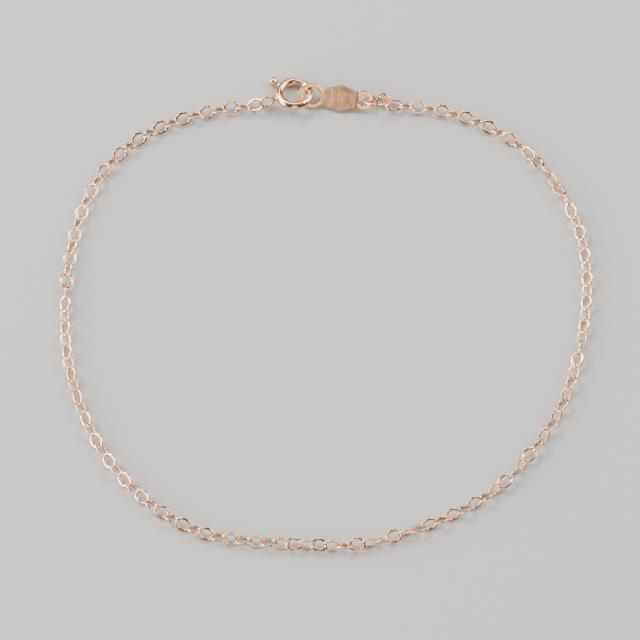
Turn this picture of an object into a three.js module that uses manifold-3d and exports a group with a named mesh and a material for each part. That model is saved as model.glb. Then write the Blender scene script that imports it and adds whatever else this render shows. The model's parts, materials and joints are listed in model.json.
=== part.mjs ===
// Cable chain bracelet in rose gold, lying on a table in one loose loop.
// Units are millimetres, +Z is up and the origin is under the middle of the loop, on the table.
// The clasp lies at the far side (+Y): spring ring, flat tag, jump ring, then the chain all the way round.

import * as THREE from 'three';
import { mergeVertices } from 'three/addons/utils/BufferGeometryUtils.js';
import Module from 'manifold-3d';

const wasm = await Module();
wasm.setup();

// The loop in which the chain lies, along the middles of its links.
const LOOP_WIDTH = 65.8;
const LOOP_DEPTH = 61.8;

// Chain: oval links of flattened wire, each turned against its neighbours.
const LEFT_LINKS = 61;
const LINK_WIDTH = 1.74;
const LINK_INSIDE_LENGTH = 1.57;
const WIRE_BREADTH = 0.31;
const WIRE_THICKNESS = 0.2;
const LINK_SIDES = 10;
const FUSE_DEPTH = 0.04;
const FREE_GAP = 0.07;

// Spring ring clasp: a hollow tube ring with a mouth that a spring-loaded bolt closes.
const CLASP_AT = { x: -4.04, insideLoop: 1.5, height: 1.09 };
const CLASP_TILT = -15;
const CLASP_OUTER = 4.9;
const TUBE = 1;
const TUBE_WALL = 0.125;
const MOUTH_FROM = 50;
const MOUTH_TO = 86;
const BOLT_TRAVEL = 34;
const BOLT_THICKNESS = 0.6;
const BOLT_TIP_GAP = 2.6;
const KNOB_ANGLE = 144;
const KNOB_WIDTH = 1.14;
const KNOB_HEIGHT = 0.94;
const KNOB_REACH = 3.42;
const STEM_WIDTH = 0.56;
const SLOT_CLEARANCE = 0.08;
const BOLT_TAIL = 5;
const END_LOOP_OUTER = 2.25;
const END_LOOP_WIRE = 0.38;
const END_LOOP_ANGLE = 199;
const END_LOOP_NECK = 0.15;
const NECK_AT_RING = 0.68;
const NECK_AT_LOOP = 0.46;
const BORE_BEFORE_MOUTH = 4;
const BORE_BEHIND_BOLT = 6;
const CHAIN_HANG_ANGLE = 25;

// Tag: a flat lozenge with an eye at each end.
const TAG_FROM_CLASP = { x: 2.22, y: -0.24, z: 0.05 };
const TAG_YAW = -6.2;
const TAG_ROLL = 32;
const TAG_EYE_SPACING = 6.6;
const LOZENGE_THICKNESS = 0.34;
const EYE_THICKNESS = 0.28;
const LARGE_EYE = { outer: 3.28, hole: 2.14 };
const SMALL_EYE = { outer: 2.54, hole: 1.3 };
const LOZENGE = { startFromLargeEye: 1.3, startWidth: 2.12, waistFromLargeEye: 3.7, waistWidth: 3.44,
  endFromSmallEye: 0.7, endWidth: 2.04 };

// Jump ring: round wire, between the tag's small eye and the chain's last link.
const JUMP_OUTER = 3.2;
const JUMP_WIRE = 0.4;
const JUMP_TILT = -45;
const JUMP_YAW = -4;
const JUMP_FROM_SMALL_EYE = { x: 1.5, y: -0.09, z: 0.12 };

// The last link hangs askew on the jump ring's far wire, and the one before it lies nearly flat.
const HOOK_ANGLE = 40;
const HOOK_OFFSET = { x: -0.07, y: -0.3, z: 0.17 };
const HOOK_YAW = -43.3;
const HOOK_PITCH = -15.7;
const HOOK_LEAN = -30;
const LEAN_BEFORE_HOOK = 4;

// The chain's route over the table, from the clasp round the near side to the jump ring, chosen by hand:
// x in halves of LOOP_WIDTH and y in halves of LOOP_DEPTH.
const ROUTE = [
  [-0.368, 0.893], [-0.556, 0.845], [-0.723, 0.757], [-0.857, 0.615], [-0.942, 0.434], [-0.985, 0.236],
  [-1, 0.039], [-0.991, -0.172], [-0.948, -0.372], [-0.872, -0.56], [-0.76, -0.728], [-0.614, -0.867],
  [-0.441, -0.958], [-0.246, -0.987], [-0.061, -1], [0.119, -1], [0.301, -0.948], [0.486, -0.867],
  [0.657, -0.751], [0.784, -0.599], [0.888, -0.424], [0.951, -0.236], [0.988, -0.039], [1, 0.162],
  [0.973, 0.356], [0.894, 0.537], [0.778, 0.696], [0.623, 0.812], [0.444, 0.88],
];

// How the links lean, in degrees: positive has the side outside the loop raised, 0 lies flat.
// A row holds for the links up to the one it names, odd and even ones apart.
const LEANS = [
  { upTo: 2, odd: 5, even: -50 },
  { upTo: 14, odd: 25, even: -42 },
  { upTo: 18, odd: 20, even: -42 },
  { upTo: 22, odd: 16, even: -47 },
  { upTo: 24, odd: 12, even: -57 },
  { upTo: 26, odd: 5, even: -87 },
  { upTo: 28, odd: -36, even: 50 },
  { upTo: 32, odd: -44, even: 37 },
  { upTo: 38, odd: -47, even: 45 },
  { upTo: 51, odd: -34, even: 42 },
  { upTo: 56, odd: -44, even: 36 },
  { upTo: 58, odd: -50, even: 2 },
  { upTo: 60, odd: -70, even: -4 },
  { upTo: 62, odd: -60, even: 52 },
  { upTo: 64, odd: -15, even: -76 },
  { upTo: 66, odd: 62, even: -25 },
  { upTo: 68, odd: -92, even: 41 },
  { upTo: 74, odd: -47, even: 44 },
  { upTo: 76, odd: -61, even: 8 },
  { upTo: 78, odd: -95, even: -62 },
  { upTo: 80, odd: 10, even: 55 },
  { upTo: 86, odd: -46, even: 40 },
  { upTo: 88, odd: -42, even: 25 },
  { upTo: 90, odd: -88, even: -45 },
  { upTo: 98, odd: 40, even: -44 },
  { upTo: 100, odd: 38, even: -46 },
  { upTo: 102, odd: 42, even: -88 },
  { upTo: 104, odd: -26, even: 62 },
  { upTo: 106, odd: -75, even: -28 },
  { upTo: 110, odd: 42, even: -49 },
  { upTo: Infinity, odd: 30, even: -47 },
];

const ROSE_GOLD = new THREE.MeshStandardMaterial({ color: 0xd9a487, roughness: 0.22, metalness: 1 });
const SATIN_ROSE_GOLD = new THREE.MeshStandardMaterial({ color: 0xcf9c82, roughness: 0.45, metalness: 1 });

const UP = new THREE.Vector3(0, 0, 1);
const radians = THREE.MathUtils.degToRad;

// Solids

// A closed three.js geometry as a solid.
function solid(geometry) {
  const bare = geometry.index ? geometry.toNonIndexed() : geometry.clone();
  for (const name of Object.keys(bare.attributes)) {
    if (name !== 'position') bare.deleteAttribute(name);
  }
  const merged = mergeVertices(bare, 1e-5);
  const vertProperties = new Float32Array(merged.attributes.position.array);
  const corners = merged.index.array;
  const kept = [];
  for (let i = 0; i < corners.length; i += 3) {
    const [a, b, c] = corners.slice(i, i + 3);
    if (a !== b && b !== c && c !== a) kept.push(a, b, c);
  }
  return new wasm.Manifold(new wasm.Mesh({ numProp: 3, vertProperties, triVerts: new Uint32Array(kept) }));
}

function meshOf(name, body, material) {
  const result = body.getMesh();
  const geometry = new THREE.BufferGeometry();
  geometry.setAttribute('position', new THREE.BufferAttribute(new Float32Array(result.vertProperties), 3));
  geometry.setIndex(new THREE.BufferAttribute(new Uint32Array(result.triVerts), 1));
  geometry.computeVertexNormals();
  const mesh = new THREE.Mesh(geometry, material);
  mesh.name = name;
  return mesh;
}

// A level arc about the origin, angles in degrees from +X.
class Arc extends THREE.Curve {
  constructor(radius, from, to) {
    super();
    Object.assign(this, { radius, from: radians(from), to: radians(to) });
  }

  getPoint(t, target = new THREE.Vector3()) {
    const angle = THREE.MathUtils.lerp(this.from, this.to, t);
    return target.set(this.radius * Math.cos(angle), this.radius * Math.sin(angle), 0);
  }
}

// A regular polygon whose flats lie on the circle, or whose corners do.
function polygon(diameter, sides, flatsOnCircle = false) {
  const half = Math.PI / sides;
  const radius = diameter / 2 / (flatsOnCircle ? Math.cos(half) : 1);
  const points = [];
  for (let i = 0; i < sides; i += 1) {
    const angle = half * (2 * i + 1);
    points.push(new THREE.Vector2(radius * Math.cos(angle), radius * Math.sin(angle)));
  }
  return new THREE.Shape(points);
}

function rod(section, radius, from, to, steps) {
  const extrudePath = new Arc(radius, from, to);
  return solid(new THREE.ExtrudeGeometry(section, { steps, bevelEnabled: false, extrudePath }));
}

function plate(shape, thickness, curveSegments) {
  const geometry = new THREE.ExtrudeGeometry(shape, { depth: thickness, bevelEnabled: false, curveSegments });
  return geometry.translate(0, 0, -thickness / 2);
}

// Chain

function leanOf(number) {
  const row = LEANS.find((entry) => number <= entry.upTo);
  return number % 2 ? row.odd : row.even;
}

// How high a link's middle is when its lower side touches the table.
function restHeight(lean) {
  const angle = radians(lean);
  return (LINK_WIDTH / 2) * Math.abs(Math.sin(angle)) + (WIRE_THICKNESS / 2) * Math.abs(Math.cos(angle));
}

// One flattened-wire link between two inner end points, turned by lean about the line between them.
// The wire's section has five corners, with a ridge on the inside of the link.
function linkGeometry(start, end, lean) {
  const section = [
    { across: 0, up: 0 },
    { across: 0.33, up: -0.5 },
    { across: 1, up: -0.4 },
    { across: 1, up: 0.4 },
    { across: 0.33, up: 0.5 },
  ];
  const profile = section.map(({ across, up }) => new THREE.Vector2(1 + across, up * WIRE_THICKNESS));
  profile.push(profile[0].clone());
  const halfStep = Math.PI / LINK_SIDES;
  const geometry = new THREE.LatheGeometry(profile, LINK_SIDES, halfStep + Math.PI / 2);
  const along = new THREE.Vector3().subVectors(end, start);
  const insideHalf = along.length() / 2;
  along.normalize();
  const outward = new THREE.Vector3().crossVectors(along, UP).normalize();
  const side = outward.applyAxisAngle(along, -radians(lean));
  const normal = new THREE.Vector3().crossVectors(along, side);
  const middle = new THREE.Vector3().addVectors(start, end).multiplyScalar(0.5);
  const position = geometry.attributes.position;
  const point = new THREE.Vector3();
  for (let i = 0; i < position.count; i += 1) {
    point.fromBufferAttribute(position, i);
    const ring = Math.hypot(point.x, point.z);
    const across = WIRE_BREADTH * (ring - 1);
    const length = (insideHalf + across) / Math.cos(halfStep);
    const width = LINK_WIDTH / 2 - WIRE_BREADTH + across;
    const placed = middle.clone()
      .addScaledVector(along, (length * point.x) / ring)
      .addScaledVector(side, (width * point.z) / ring)
      .addScaledVector(normal, -point.y);
    position.setXYZ(i, placed.x, placed.y, placed.z);
  }
  return geometry;
}

// The chain from its first contact to its last: where its links touch, evenly spaced along the route, and
// how each link leans. Item i of each list is contact i, and the link that ends there.
function chainAlong(first, last) {
  const onTable = ROUTE.map(([x, y]) => new THREE.Vector3((x * LOOP_WIDTH) / 2, (y * LOOP_DEPTH) / 2, 0));
  const ends = [first, last].map((point) => new THREE.Vector3(point.x, point.y, 0));
  const curve = new THREE.CatmullRomCurve3([ends[0], ...onTable, ends[1]], false, 'centripetal');
  curve.arcLengthDivisions = 3000;
  const count = Math.round(curve.getLength() / LINK_INSIDE_LENGTH);
  const contacts = curve.getSpacedPoints(count);
  const leans = contacts.map((point, i) => (i === count ? LEAN_BEFORE_HOOK : leanOf(i)));
  contacts.forEach((point, i) => {
    point.z = Math.max(restHeight(leans[i]), restHeight(leans[Math.min(i + 1, count)]));
  });
  contacts[0] = first;
  contacts[count] = last;
  return { contacts, leans, count };
}

// The links from one number to another, fused where they touch, with a gap at a free end.
function chainStretch({ contacts, leans }, fromLink, toLink) {
  const links = [];
  for (let number = fromLink; number <= toLink; number += 1) {
    const from = contacts[number - 1];
    const to = contacts[number];
    const along = new THREE.Vector3().subVectors(to, from).normalize();
    const trim = (contact) => (contact === 0 || contact === LEFT_LINKS ? -FREE_GAP / 2 : FUSE_DEPTH / 2);
    const start = from.clone().addScaledVector(along, trim(number - 1));
    const end = to.clone().addScaledVector(along, -trim(number));
    links.push(solid(linkGeometry(start, end, leans[number])));
  }
  return links.reduce((chain, link) => chain.add(link));
}

// Clasp

const CLASP_CENTRE = new THREE.Vector3(CLASP_AT.x, LOOP_DEPTH / 2 - CLASP_AT.insideLoop, CLASP_AT.height);
const RING_RADIUS = (CLASP_OUTER - TUBE) / 2;
const BORE = TUBE - 2 * TUBE_WALL;
const END_LOOP_RADIUS = (END_LOOP_OUTER - END_LOOP_WIRE) / 2;
const END_LOOP_REACH = CLASP_OUTER / 2 + END_LOOP_NECK + END_LOOP_OUTER / 2;

function inClasp(body) {
  return body.rotate([CLASP_TILT, 0, 0]).translate(CLASP_CENTRE.toArray());
}

// The slot that the knob's stem travels in, on the ring's outer side.
function stemSlot() {
  const margin = THREE.MathUtils.radToDeg((STEM_WIDTH / 2 + SLOT_CLEARANCE) / RING_RADIUS);
  const from = radians(KNOB_ANGLE - margin);
  const to = radians(KNOB_ANGLE + BOLT_TRAVEL + margin);
  const shape = new THREE.Shape();
  shape.absarc(0, 0, RING_RADIUS, from, to, false);
  shape.absarc(0, 0, CLASP_OUTER / 2 + TUBE, to, from, true);
  return solid(plate(shape, STEM_WIDTH + 2 * SLOT_CLEARANCE, 4));
}

function endLoop() {
  const loop = new THREE.TorusGeometry(END_LOOP_RADIUS, END_LOOP_WIRE / 2, 6, 14);
  loop.rotateX(Math.PI / 2).translate(END_LOOP_REACH, 0, 0);
  const neckLength = END_LOOP_REACH - END_LOOP_RADIUS - RING_RADIUS;
  const neck = new THREE.CylinderGeometry(NECK_AT_LOOP / 2, NECK_AT_RING / 2, neckLength, 8);
  neck.rotateZ(-Math.PI / 2).translate(RING_RADIUS + neckLength / 2, 0, 0);
  return solid(loop).add(solid(neck)).rotate([0, 0, END_LOOP_ANGLE]);
}

function claspRing() {
  const body = rod(polygon(TUBE, 10), RING_RADIUS, MOUTH_TO, 360 + MOUTH_FROM, 20);
  const boreEnd = KNOB_ANGLE + BOLT_TRAVEL + BOLT_TAIL + BORE_BEHIND_BOLT;
  const bore = rod(polygon(BORE, 8, true), RING_RADIUS, MOUTH_TO - BORE_BEFORE_MOUTH, boreEnd, 9);
  return inClasp(body.add(endLoop()).subtract(bore).subtract(stemSlot()));
}

function claspBolt() {
  const tip = MOUTH_FROM + BOLT_TIP_GAP;
  const tongue = rod(polygon(BOLT_THICKNESS, 8), RING_RADIUS, tip, KNOB_ANGLE + BOLT_TAIL, 9);
  const stemLength = KNOB_REACH - RING_RADIUS;
  const stem = new THREE.CylinderGeometry(STEM_WIDTH / 2, STEM_WIDTH / 2, stemLength, 8);
  stem.rotateZ(-Math.PI / 2).translate(RING_RADIUS + stemLength / 2, 0, 0);
  const head = new THREE.SphereGeometry(KNOB_WIDTH / 2, 10, 7);
  head.scale(1, KNOB_HEIGHT / KNOB_WIDTH, 1).rotateZ(-Math.PI / 2).translate(KNOB_REACH, 0, 0);
  const knob = solid(stem).add(solid(head)).rotate([0, 0, KNOB_ANGLE]);
  return inClasp(tongue.add(knob));
}

// Tag

const TAG_PLACE = new THREE.Matrix4()
  .makeTranslation(CLASP_CENTRE.clone().add(TAG_FROM_CLASP))
  .multiply(new THREE.Matrix4().makeRotationZ(radians(TAG_YAW)))
  .multiply(new THREE.Matrix4().makeRotationX(radians(TAG_ROLL)));

function eye({ outer, hole }, x) {
  const shape = new THREE.Shape();
  shape.absarc(x, 0, outer / 2, 0, 2 * Math.PI, false);
  const opening = new THREE.Path();
  opening.absarc(x, 0, hole / 2, 0, 2 * Math.PI, true);
  shape.holes.push(opening);
  return plate(shape, EYE_THICKNESS, 12);
}

function tag() {
  const endX = TAG_EYE_SPACING - LOZENGE.endFromSmallEye;
  const outline = [
    [LOZENGE.startFromLargeEye, LOZENGE.startWidth],
    [LOZENGE.waistFromLargeEye, LOZENGE.waistWidth],
    [endX, LOZENGE.endWidth],
  ];
  const near = outline.map(([x, width]) => new THREE.Vector2(x, -width / 2));
  const far = outline.map(([x, width]) => new THREE.Vector2(x, width / 2)).reverse();
  const lozenge = plate(new THREE.Shape([...near, ...far]), LOZENGE_THICKNESS, 1);
  return [lozenge, eye(LARGE_EYE, 0), eye(SMALL_EYE, TAG_EYE_SPACING)]
    .map((geometry) => solid(geometry.applyMatrix4(TAG_PLACE)))
    .reduce((body, piece) => body.add(piece));
}

// Jump ring and the ends of the chain

const JUMP_CENTRE = new THREE.Vector3(TAG_EYE_SPACING, 0, 0).applyMatrix4(TAG_PLACE).add(JUMP_FROM_SMALL_EYE);
const JUMP_RADIUS = (JUMP_OUTER - JUMP_WIRE) / 2;
const JUMP_PLACE = new THREE.Matrix4()
  .makeTranslation(JUMP_CENTRE)
  .multiply(new THREE.Matrix4().makeRotationZ(radians(JUMP_YAW)))
  .multiply(new THREE.Matrix4().makeRotationX(radians(JUMP_TILT)));

function jumpRing() {
  return solid(new THREE.TorusGeometry(JUMP_RADIUS, JUMP_WIRE / 2, 6, 16).applyMatrix4(JUMP_PLACE));
}

// Where the chain's first link bears on the clasp's end loop, low on its outer side.
function claspContact() {
  const hang = radians(CHAIN_HANG_ANGLE);
  const reach = END_LOOP_RADIUS - END_LOOP_WIRE / 2 - FREE_GAP / 2;
  return new THREE.Vector3(END_LOOP_REACH + reach * Math.cos(hang), 0, -reach * Math.sin(hang))
    .applyAxisAngle(UP, radians(END_LOOP_ANGLE))
    .applyAxisAngle(new THREE.Vector3(1, 0, 0), radians(CLASP_TILT))
    .add(CLASP_CENTRE);
}

// The inner end points of the last link, which is threaded on the jump ring.
function lastLink() {
  const angle = radians(HOOK_ANGLE);
  const wire = new THREE.Vector3(JUMP_RADIUS * Math.cos(angle), JUMP_RADIUS * Math.sin(angle), 0);
  const middle = wire.applyMatrix4(JUMP_PLACE).add(HOOK_OFFSET);
  const half = new THREE.Vector3(LINK_INSIDE_LENGTH / 2, 0, 0)
    .applyAxisAngle(new THREE.Vector3(0, 1, 0), radians(-HOOK_PITCH))
    .applyAxisAngle(UP, radians(HOOK_YAW));
  const touch = middle.clone().addScaledVector(half, 1 + FUSE_DEPTH / LINK_INSIDE_LENGTH);
  return { start: middle.clone().sub(half), end: middle.clone().add(half), touch };
}

const hooked = lastLink();
const chain = chainAlong(claspContact(), hooked.touch);
const hookedLink = solid(linkGeometry(hooked.start, hooked.end, HOOK_LEAN));

const group = new THREE.Group();
group.add(
  meshOf('chain_left', chainStretch(chain, 1, LEFT_LINKS), ROSE_GOLD),
  meshOf('chain_right', chainStretch(chain, LEFT_LINKS + 1, chain.count).add(hookedLink), ROSE_GOLD),
  meshOf('clasp_ring', claspRing(), ROSE_GOLD),
  meshOf('clasp_bolt', claspBolt(), ROSE_GOLD),
  meshOf('tag', tag(), SATIN_ROSE_GOLD),
  meshOf('jump_ring', jumpRing(), ROSE_GOLD),
);

export default group;
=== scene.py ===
# Cable chain bracelet in rose gold: fine links, a spring ring clasp and a tag, on its frame of solids.
# Places are in metres in the frame's own axes: the bracelet lies on the table, with its clasp towards +Y.

import json
import math

import bmesh
import bpy
import numpy as np
from bpy.props import FloatProperty, FloatVectorProperty, IntProperty, PointerProperty
from mathutils import Matrix, Vector


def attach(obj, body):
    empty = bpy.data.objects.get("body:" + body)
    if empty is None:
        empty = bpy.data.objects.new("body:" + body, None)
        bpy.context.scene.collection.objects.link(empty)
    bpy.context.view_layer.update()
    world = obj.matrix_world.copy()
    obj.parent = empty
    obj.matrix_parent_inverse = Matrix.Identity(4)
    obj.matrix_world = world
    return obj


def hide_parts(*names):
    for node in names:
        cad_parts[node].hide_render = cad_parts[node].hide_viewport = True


bl_info = {
    "name": "Cable Chain Bracelet",
    "version": (1, 0, 0),
    "blender": (4, 5, 0),
    "location": "3D View > Sidebar > Bracelet",
    "description": "Makes a fine rose gold cable chain bracelet with a spring ring clasp",
    "category": "Add Mesh",
}

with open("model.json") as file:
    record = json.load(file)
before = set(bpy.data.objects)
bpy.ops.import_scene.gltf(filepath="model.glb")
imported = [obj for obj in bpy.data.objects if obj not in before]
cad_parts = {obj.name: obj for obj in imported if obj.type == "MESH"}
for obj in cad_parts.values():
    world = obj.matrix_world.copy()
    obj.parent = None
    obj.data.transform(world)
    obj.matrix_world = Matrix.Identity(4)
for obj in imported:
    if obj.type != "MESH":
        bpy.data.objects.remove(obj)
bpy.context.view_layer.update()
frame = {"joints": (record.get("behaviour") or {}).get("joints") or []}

MM = 0.001
UP = Vector((0, 0, 1))

# The clasp's ring lies round the hinge on which its bolt slides.
HINGE = frame["joints"][0]
CLASP_CENTRE = Vector(HINGE["pos_m"])
CLASP_TURN = UP.rotation_difference(Vector(HINGE["axis"])).to_matrix().to_4x4()
CLASP_PLACE = Matrix.Translation(CLASP_CENTRE) @ CLASP_TURN
CHAIN_HANG_ANGLE = math.radians(25)

# The tag lies from the clasp's tube to the jump ring, its large eye first.
TAG_FROM_CLASP = Vector((2.22, -0.24, 0.05)) * MM
TAG_YAW = math.radians(-6.2)
TAG_ROLL = math.radians(32)

# The jump ring stands askew in the tag's small eye.
JUMP_FROM_SMALL_EYE = Vector((1.5, -0.09, 0.12)) * MM
JUMP_YAW = math.radians(-4)
JUMP_TILT = math.radians(-45)

# The last link hangs askew on the jump ring's far wire, and the one before it lies nearly flat.
HOOK_ANGLE = math.radians(40)
HOOK_OFFSET = Vector((-0.07, -0.3, 0.17)) * MM
HOOK_YAW = math.radians(-43.3)
HOOK_PITCH = math.radians(-15.7)
HOOK_LEAN = -30
LEAN_BEFORE_HOOK = 4

# The loop in which the chain lies, and its route from the clasp round the near side to the jump ring,
# given as points: x in halves of the loop's width and y in halves of its depth.
LOOP_WIDTH = 65.8 * MM
LOOP_DEPTH = 61.8 * MM
ROUTE = [
    (-0.368, 0.893), (-0.556, 0.845), (-0.723, 0.757), (-0.857, 0.615), (-0.942, 0.434), (-0.985, 0.236),
    (-1, 0.039), (-0.991, -0.172), (-0.948, -0.372), (-0.872, -0.56), (-0.76, -0.728), (-0.614, -0.867),
    (-0.441, -0.958), (-0.246, -0.987), (-0.061, -1), (0.119, -1), (0.301, -0.948), (0.486, -0.867),
    (0.657, -0.751), (0.784, -0.599), (0.888, -0.424), (0.951, -0.236), (0.988, -0.039), (1, 0.162),
    (0.973, 0.356), (0.894, 0.537), (0.778, 0.696), (0.623, 0.812), (0.444, 0.88),
]

# How the links lean, in degrees: positive has the side outside the loop raised, 0 lies flat.
# A row holds for the links up to the one it names, odd and even ones apart.
LEANS = [
    {"up_to": 2, "odd": 5, "even": -50},
    {"up_to": 14, "odd": 25, "even": -42},
    {"up_to": 18, "odd": 20, "even": -42},
    {"up_to": 22, "odd": 16, "even": -47},
    {"up_to": 24, "odd": 12, "even": -57},
    {"up_to": 26, "odd": 5, "even": -87},
    {"up_to": 28, "odd": -36, "even": 50},
    {"up_to": 32, "odd": -44, "even": 37},
    {"up_to": 38, "odd": -47, "even": 45},
    {"up_to": 51, "odd": -34, "even": 42},
    {"up_to": 56, "odd": -44, "even": 36},
    {"up_to": 58, "odd": -50, "even": 2},
    {"up_to": 60, "odd": -70, "even": -4},
    {"up_to": 62, "odd": -60, "even": 52},
    {"up_to": 64, "odd": -15, "even": -76},
    {"up_to": 66, "odd": 62, "even": -25},
    {"up_to": 68, "odd": -92, "even": 41},
    {"up_to": 74, "odd": -47, "even": 44},
    {"up_to": 76, "odd": -61, "even": 8},
    {"up_to": 78, "odd": -95, "even": -62},
    {"up_to": 80, "odd": 10, "even": 55},
    {"up_to": 86, "odd": -46, "even": 40},
    {"up_to": 88, "odd": -42, "even": 25},
    {"up_to": 90, "odd": -88, "even": -45},
    {"up_to": 98, "odd": 40, "even": -44},
    {"up_to": 100, "odd": 38, "even": -46},
    {"up_to": 102, "odd": 42, "even": -88},
    {"up_to": 104, "odd": -26, "even": 62},
    {"up_to": 106, "odd": -75, "even": -28},
    {"up_to": 110, "odd": 42, "even": -49},
    {"up_to": math.inf, "odd": 30, "even": -47},
]

# The camera looks down at the table from the near side.
CAMERA_TARGET = Vector((-0.8, -0.95, 0)) * MM
CAMERA_ELEVATION = math.radians(70)
CAMERA_DISTANCE = 0.7
CAMERA_LENS = 312.5
CAMERA_SENSOR = 36


# Sizes and colours


def length(name, description, value):
    return FloatProperty(name=name, description=description, default=value * MM, unit="LENGTH", precision=5)


def angle(name, description, value):
    return FloatProperty(name=name, description=description, default=math.radians(value), subtype="ANGLE")


def colour(name, description, value):
    return FloatVectorProperty(name=name, description=description, default=value, size=3, subtype="COLOR")


def share(name, description, value):
    return FloatProperty(name=name, description=description, default=value, min=0, max=1, subtype="FACTOR")


class ChainSizes(bpy.types.PropertyGroup):
    """Sizes of the chain's links."""

    link_width: length("Link Width", "A link across, outside", 1.74)
    inside_length: length("Inside Length", "A link from end to end, inside", 1.57)
    wire_breadth: length("Wire Breadth", "The flattened wire, in the link's plane", 0.31)
    wire_thickness: length("Wire Thickness", "The flattened wire, across the link's plane", 0.2)
    edge_radius: length("Edge Radius", "Rounding of the flattened wire's edges", 0.085)
    steps_round: IntProperty(name="Steps Round", description="Sections in each link", default=26, min=8)
    corner_steps: IntProperty(name="Corner Steps", description="Steps in each edge of the wire", default=2)
    lean_spread: angle("Lean Spread", "How far a link strays from its charted lean", 2.5)
    seed: IntProperty(name="Seed", description="Changes how the links stray", default=7)


class ClaspSizes(bpy.types.PropertyGroup):
    """Sizes of the spring ring, its bolt and its end loop."""

    outer: length("Ring", "The spring ring across, outside", 4.9)
    tube: length("Tube", "The ring's tube across", 1.0)
    wall: length("Wall", "The tube's wall", 0.125)
    tube_edge: length("Tube Edge", "Easing of the tube's edges", 0.035)
    mouth_from: angle("Mouth From", "The fixed side of the mouth, from the ring's +X", 50)
    mouth_to: angle("Mouth To", "The tube's side of the mouth, from the ring's +X", 86)
    bolt_thickness: length("Bolt", "The bolt across", 0.6)
    bolt_tip_gap: angle("Tip Gap", "Between the bolt's tip and the fixed side of the mouth", 2.6)
    bolt_tail: angle("Bolt Tail", "How far the bolt runs on behind its knob", 5)
    travel: angle("Travel", "How far the bolt slides", 34)
    knob_angle: angle("Knob Angle", "Where the knob stands, from the ring's +X", 144)
    knob_width: length("Knob", "The knob across", 1.14)
    knob_height: length("Knob Height", "The knob along its stem", 0.94)
    knob_reach: length("Knob Reach", "From the ring's middle to the knob's", 3.42)
    stem_width: length("Stem", "The knob's stem across", 0.56)
    slot_clearance: length("Slot Clearance", "Between the stem and its slot", 0.08)
    loop_outer: length("End Loop", "The end loop across, outside", 2.25)
    loop_wire: length("Loop Wire", "The end loop's wire across", 0.38)
    loop_angle: angle("Loop Angle", "Where the end loop stands, from the ring's +X", 199)
    loop_neck: length("Loop Neck", "Between the ring and the end loop", 0.15)


class TagSizes(bpy.types.PropertyGroup):
    """Sizes of the tag and the jump ring."""

    eye_spacing: length("Eye Spacing", "Between the tag's two eyes", 6.6)
    large_eye: length("Large Eye", "The large eye across, outside", 3.28)
    large_hole: length("Large Hole", "The large eye's hole across", 2.14)
    small_eye: length("Small Eye", "The small eye across, outside", 2.54)
    small_hole: length("Small Hole", "The small eye's hole across", 1.3)
    eye_thickness: length("Eye Thickness", "The eyes' rims through", 0.28)
    lozenge_thickness: length("Lozenge Thickness", "The flat lozenge through", 0.34)
    lozenge_edge: length("Lozenge Edge", "Easing of the lozenge's edges", 0.05)
    jump_outer: length("Jump Ring", "The jump ring across, outside", 3.2)
    jump_wire: length("Jump Ring Wire", "The jump ring's wire across", 0.4)


class GoldFinish(bpy.types.PropertyGroup):
    """Colours and gloss of the gold."""

    rose: colour("Rose", "The gold's own colour", (0.85, 0.44, 0.23))
    brushed: colour("Brushed", "In the brushed lines of the tag", (0.4, 0.19, 0.1))
    pale: colour("Pale", "Where it is worn pale", (0.95, 0.64, 0.39))
    edge: colour("Edge", "Where it is seen along its surface", (0.97, 0.7, 0.47))
    polish: share("Polish", "Roughness of the polished gold", 0.16)
    satin: share("Satin", "Roughness of the brushed tag", 0.38)


class StageLooks(bpy.types.PropertyGroup):
    """The floor and the light."""

    floor: colour("Floor", "The pale floor", (0.4, 0.39, 0.379))
    light: FloatProperty(name="Light", description="Power of the softboxes, as a share", default=1.85, min=0)
    sky: colour("Sky", "Light from all round", (0.12, 0.12, 0.125))


class Bracelet(bpy.types.PropertyGroup):
    """All the bracelet's sizes and colours."""

    chain: PointerProperty(type=ChainSizes, name="Chain", description="The links")
    clasp: PointerProperty(type=ClaspSizes, name="Clasp", description="The spring ring")
    tag: PointerProperty(type=TagSizes, name="Tag", description="The tag and the jump ring")
    finish: PointerProperty(type=GoldFinish, name="Finish", description="The gold")
    stage: PointerProperty(type=StageLooks, name="Stage", description="The floor and the light")


def settings():
    return bpy.context.scene.bracelet


# Node trees


class Nodes:
    """Adds nodes to a tree and joins them, each input by its name or its number."""

    def __init__(self, tree):
        self.tree = tree

    def add(self, kind, inputs=None, **choices):
        node = self.tree.nodes.new(kind)
        for name, value in choices.items():
            setattr(node, name, value)
        for key, value in (inputs or {}).items():
            socket = node.inputs[key]
            if isinstance(value, bpy.types.NodeSocket):
                self.tree.links.new(value, socket)
            else:
                socket.default_value = value
        return node

    def math(self, operation, first, second=0.0):
        return self.add("ShaderNodeMath", {0: first, 1: second}, operation=operation).outputs[0]

    def vector(self, operation, first, second=(0, 0, 0)):
        return self.add("ShaderNodeVectorMath", {0: first, 1: second}, operation=operation).outputs


# Finishes

# How fine the marks in the gold and the floor are, in grains to a metre.
CLOUDS = 420
SCUFFS = 5200
BROAD_LINES = 3400
FINE_LINES = 9000
CROSS_LINES = 6000
PATCHES = 1100
RUBBED_SPOTS = 1500
FLOOR_GRAIN = 900

# Where one finish of the tag runs out into the next, each from one place to the other.
# The rubbed patch is measured from the lozenge's middle, and each satin eye from its own middle.
RUBBED_PATCH = (0.5 * MM, 1.6 * MM)
LARGE_EYE_END = (1.25 * MM, 1.6 * MM)
SMALL_EYE_END = (-0.85 * MM, -0.7 * MM)


def new_material(name):
    material = bpy.data.materials.new(name)
    material.use_nodes = True
    material.node_tree.nodes.clear()
    return material, Nodes(material.node_tree)


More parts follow.
